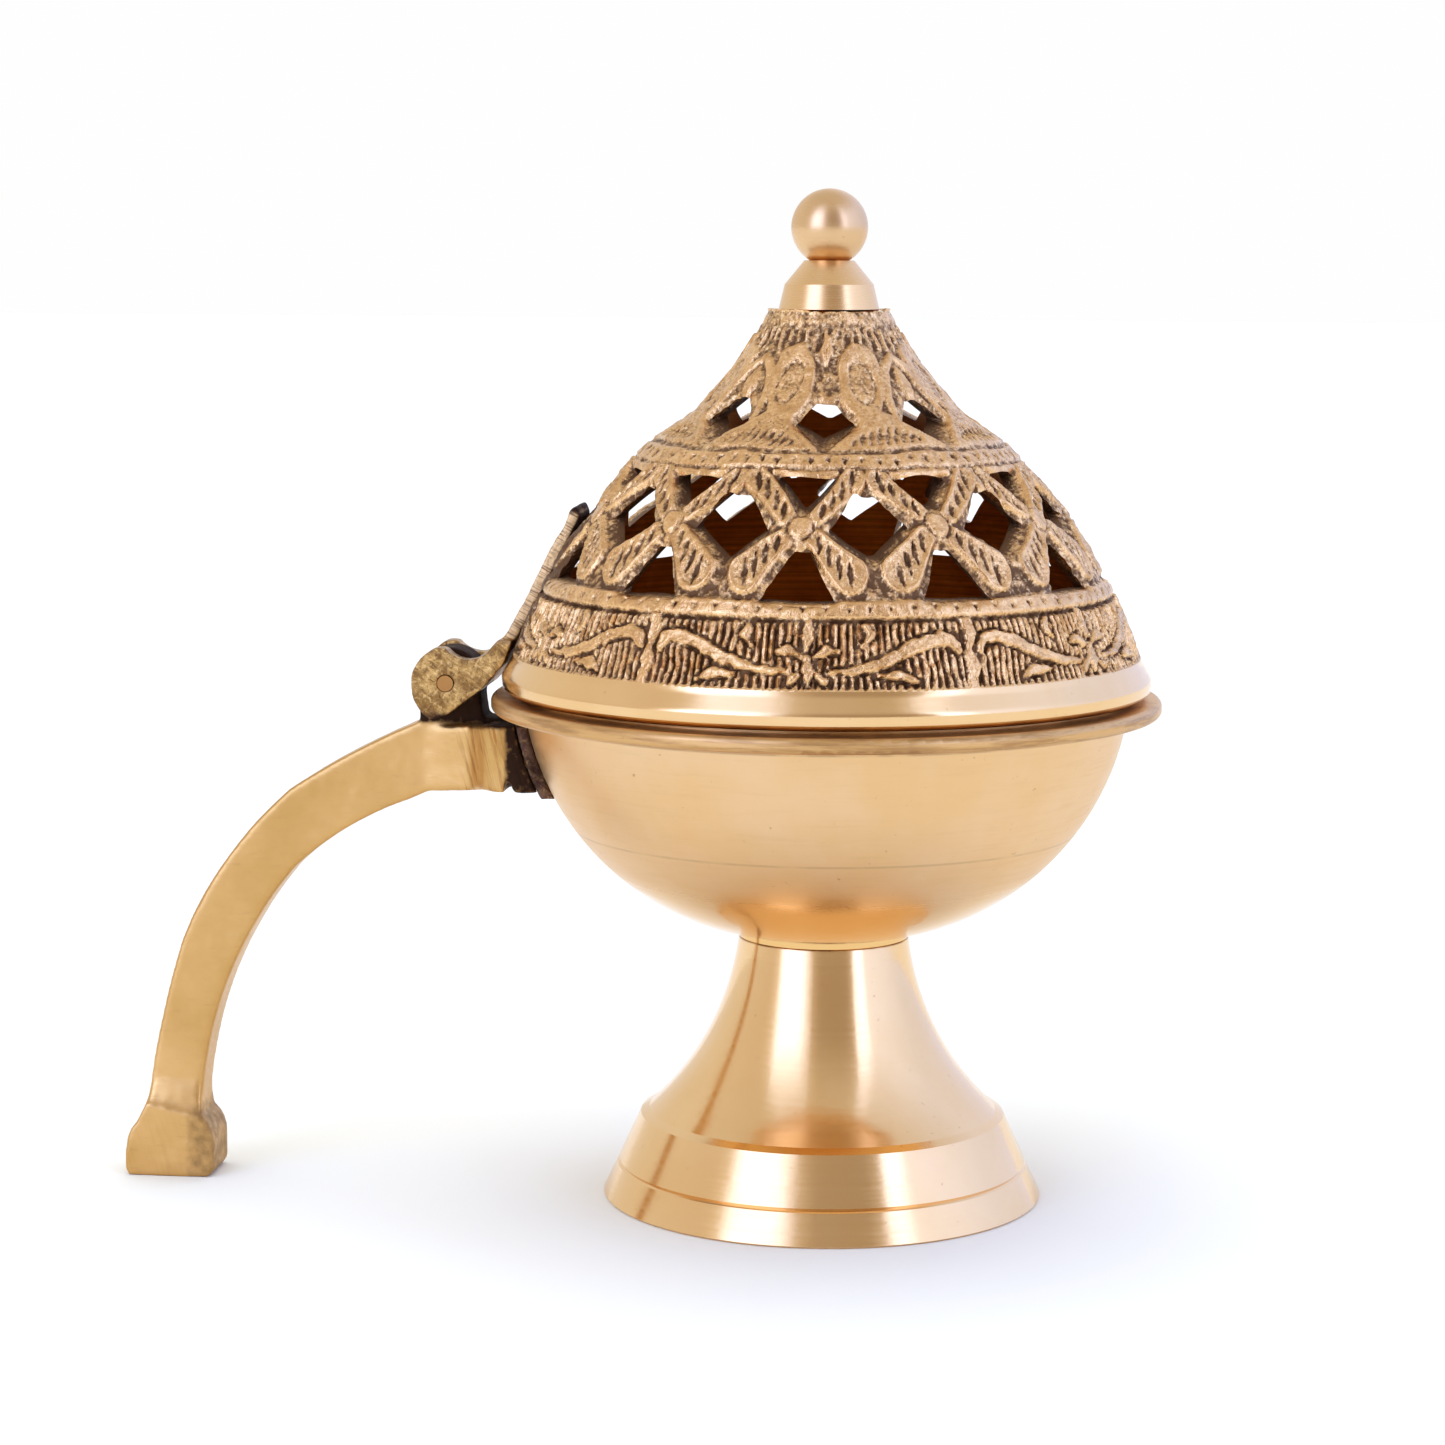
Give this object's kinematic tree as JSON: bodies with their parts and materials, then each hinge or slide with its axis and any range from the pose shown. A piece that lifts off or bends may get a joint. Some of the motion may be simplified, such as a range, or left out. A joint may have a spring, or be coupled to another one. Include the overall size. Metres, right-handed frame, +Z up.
{
  "type": "pedestal incense burner",
  "caption": "Brass pedestal incense burner with a turned bowl, a pierced dome lid hinged at the back, a ball finial and a curved side handle that reaches down to the table.",
  "frame": {"origin": "on the table, on the axis of the foot, bowl, dome and finial", "axes": "+Z up along the axis of the turned parts, -X towards the handle and the hinge, the hinge pin along Y"},
  "size_m": [0.1574, 0.1, 0.151],
  "materials": {
    "polished_brass": "turned and polished, pale gold",
    "satin_brass": "ground and satin polished, yellow gold",
    "antique_brass": "as cast and chased, tan high parts and dark brown recesses",
    "dark_brass": "dark brown casting skin",
    "rivet_brass": "filed flush, reddish",
    "steel": "dull plated"
  },
  "bodies": {
    "base": {"pedestal_foot": "polished_brass", "bowl": "polished_brass", "foot_screw": "steel", "foot_washer": "steel", "foot_nut": "steel", "handle": "satin_brass", "handle_saddle": "dark_brass", "handle_rivets": "rivet_brass"},
    "lid": {"dome_lid": "antique_brass", "hinge_strap": "antique_brass", "hinge_pin": "rivet_brass", "strap_rivets": "rivet_brass", "finial_collar": "polished_brass", "finial_ball": "polished_brass", "finial_stud": "steel", "finial_washer": "steel", "finial_nut": "steel"}
  },
  "joints": [
    {"name": "lid_hinge", "type": "hinge", "parent": "base", "child": "lid", "pos_m": [-0.0565, 0, 0.0775], "axis": [0, -1, 0], "range_deg": [0, 105]}
  ]
}
